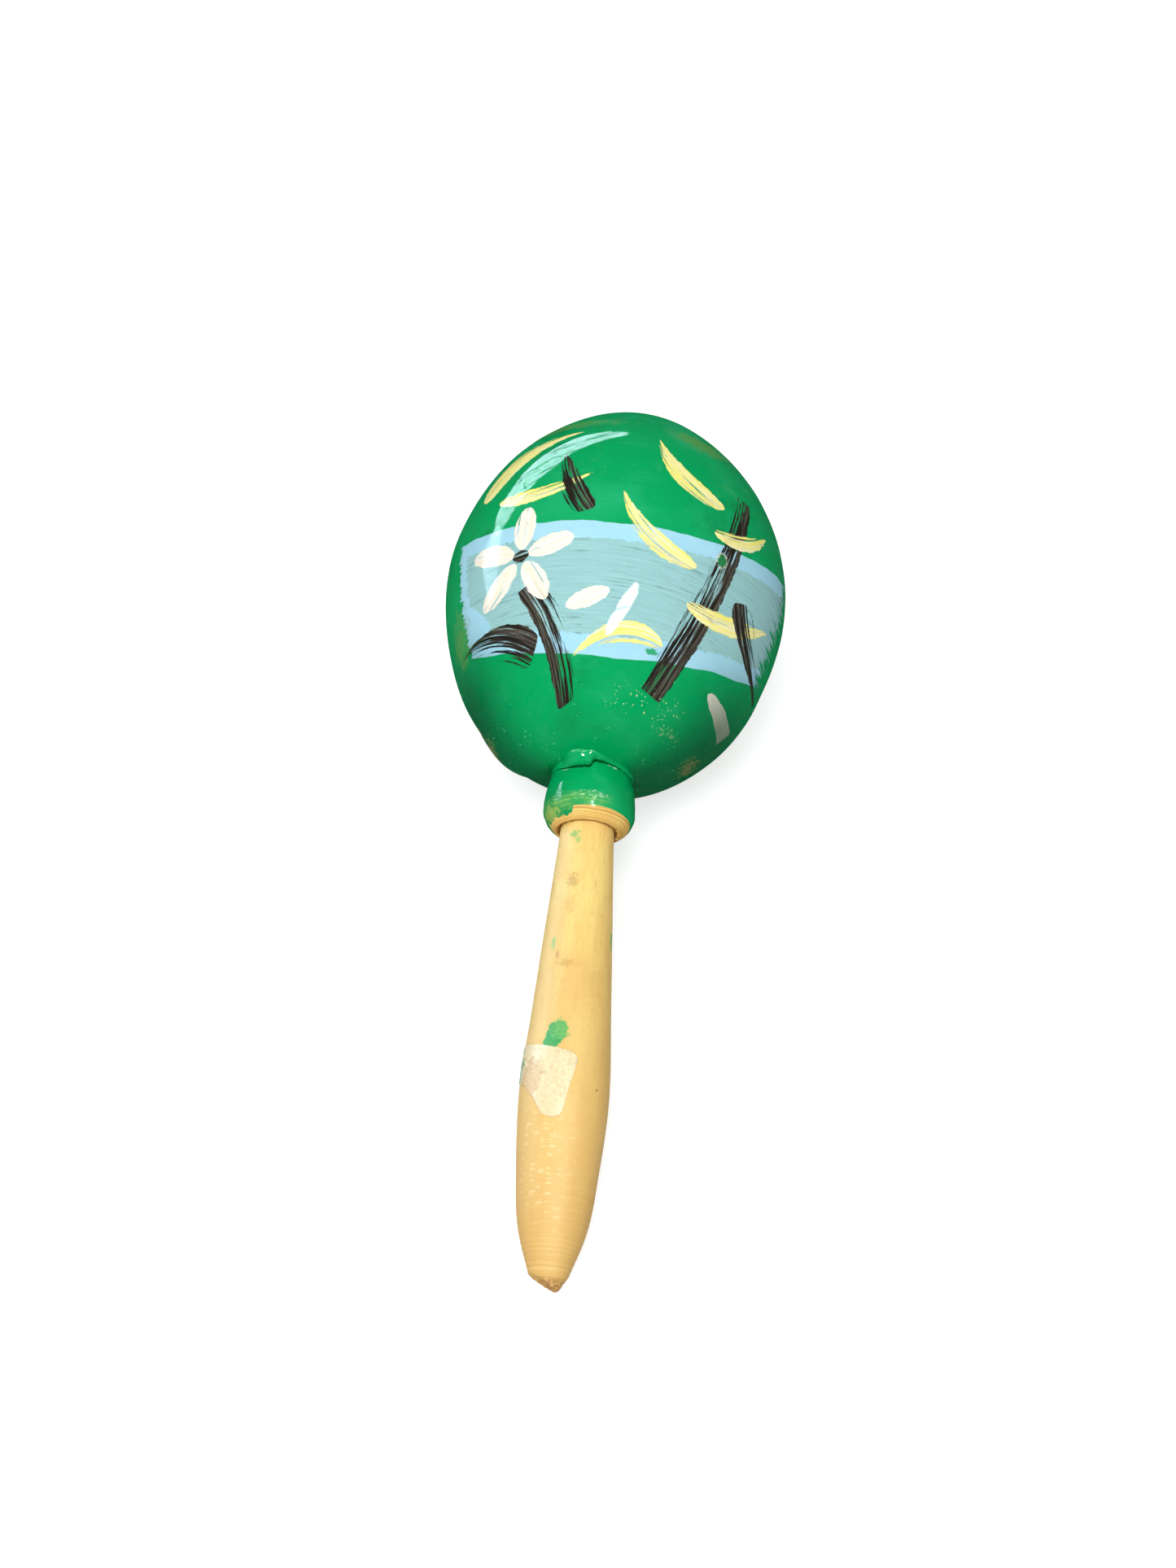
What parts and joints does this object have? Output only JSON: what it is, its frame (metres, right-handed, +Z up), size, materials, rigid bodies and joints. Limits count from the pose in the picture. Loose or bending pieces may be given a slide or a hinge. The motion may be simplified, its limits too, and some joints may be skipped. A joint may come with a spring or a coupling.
{
  "type": "maraca",
  "caption": "Hand-painted gourd maraca with a turned wooden handle, a collar ring and loose seeds that swirl and leap inside when it is shaken.",
  "frame": {"origin": "on the resting surface, under the middle of the outline as the instrument lies on its side", "axes": "+Y along the length towards the head, +Z up, +X to the right seen from the handle's end"},
  "size_m": [0.0966, 0.2492, 0.097],
  "materials": {
    "green_enamel": "glossy green enamel brushed on dried gourd rind, with a light blue painted band",
    "collar_enamel": "glossy green enamel on turned wood, bare at the mouth",
    "handle_wood": "pale varnished wood, satin",
    "painted_filler": "set glue and putty under green enamel",
    "clear_tape": "aged translucent tape, satin",
    "seed": "smooth hard seed"
  },
  "bodies": {
    "maraca": {"handle": "handle_wood", "collar": "collar_enamel", "gourd": "green_enamel", "neck_filler": "painted_filler", "tape_scrap": "clear_tape"},
    "seeds_low": {"seed_low_01": "seed", "seed_low_02": "seed", "seed_low_03": "seed", "seed_low_04": "seed", "seed_low_05": "seed", "seed_low_06": "seed", "seed_low_07": "seed", "seed_low_08": "seed", "seed_low_09": "seed", "seed_low_10": "seed", "seed_low_11": "seed", "seed_low_12": "seed", "seed_low_13": "seed", "seed_low_14": "seed", "seed_low_15": "seed", "seed_low_16": "seed", "seed_low_17": "seed", "seed_low_18": "seed", "seed_low_19": "seed", "seed_low_20": "seed", "seed_low_21": "seed", "seed_low_22": "seed", "seed_low_23": "seed", "seed_low_24": "seed"},
    "seeds_top": {"seed_top_01": "seed", "seed_top_02": "seed", "seed_top_03": "seed", "seed_top_04": "seed", "seed_top_05": "seed", "seed_top_06": "seed", "seed_top_07": "seed", "seed_top_08": "seed", "seed_top_09": "seed", "seed_top_10": "seed", "seed_top_11": "seed", "seed_top_12": "seed", "seed_top_13": "seed", "seed_top_14": "seed", "seed_top_15": "seed"}
  },
  "joints": [
    {"name": "swirl", "type": "hinge", "parent": "maraca", "child": "seeds_low", "pos_m": [0.00012, 0.06785, 0.04898], "axis": [0.061, 0.9729, 0.2232], "continuous": true},
    {"name": "toss", "type": "slide", "parent": "seeds_low", "child": "seeds_top", "axis": [-0.014, -0.2227, 0.9748], "range_m": [0, 0.066]}
  ]
}
